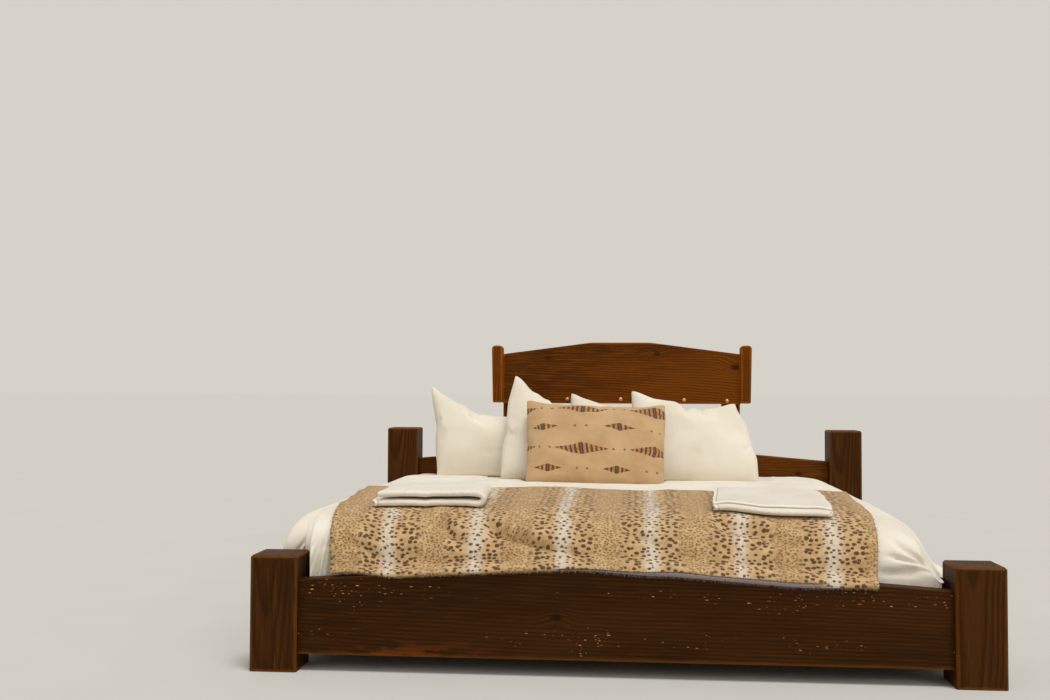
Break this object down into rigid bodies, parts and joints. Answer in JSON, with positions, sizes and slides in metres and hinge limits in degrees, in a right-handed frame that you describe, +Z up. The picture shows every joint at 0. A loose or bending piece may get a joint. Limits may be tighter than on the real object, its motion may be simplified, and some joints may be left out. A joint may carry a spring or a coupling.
{
  "type": "wagon platform bed",
  "caption": "Built-in king platform bed of a covered wagon: square posts, crowned planks, slatted deck, headboard, mattress, duvet, spotted throw, pillows and towels.",
  "frame": {"origin": "on the floor under the middle of the bed's overall box", "axes": "+X to the right as seen from the foot, +Y towards the headboard, +Z up"},
  "size_m": [2.3, 2.22, 1.115],
  "materials": {
    "post_timber": "oiled square softwood posts, worn at the edges",
    "rail_timber": "dark stained plank with scuffs",
    "board_timber": "stained pine plank",
    "headboard_timber": "stained pine plank with visible grain",
    "deck_timber": "bare sawn softwood",
    "mattress_ticking": "quilted mattress cover",
    "duvet_cotton": "white cotton duvet cover",
    "pillow_cotton": "white cotton pillow case",
    "throw_fur": "short spotted faux fur with a plush back",
    "lumbar_linen": "tan linen with a dark printed pattern",
    "towel_terry": "white terry towelling"
  },
  "bodies": {
    "root": {"post_front_left": "post_timber", "post_front_right": "post_timber", "post_rear_left": "post_timber", "post_rear_right": "post_timber", "front_rail": "rail_timber", "side_rail_left": "rail_timber", "side_rail_right": "rail_timber", "lower_back_rail": "rail_timber", "back_board": "board_timber", "headboard_panel": "headboard_timber", "headboard_block_left": "headboard_timber", "headboard_block_right": "headboard_timber", "headboard_leg_left": "headboard_timber", "headboard_leg_right": "headboard_timber", "headboard_cleat": "headboard_timber", "side_cleat_left": "deck_timber", "side_cleat_right": "deck_timber", "centre_beam": "deck_timber", "centre_feet": "deck_timber", "deck_slats": "deck_timber", "mattress": "mattress_ticking", "duvet": "duvet_cotton", "bed_throw": "throw_fur", "pillow_left_back": "pillow_cotton", "pillow_middle_back": "pillow_cotton", "pillow_left_front": "pillow_cotton", "pillow_right_front": "pillow_cotton", "lumbar_pillow": "lumbar_linen", "towel_left": "towel_terry", "towel_right": "towel_terry"}
  },
  "joints": []
}
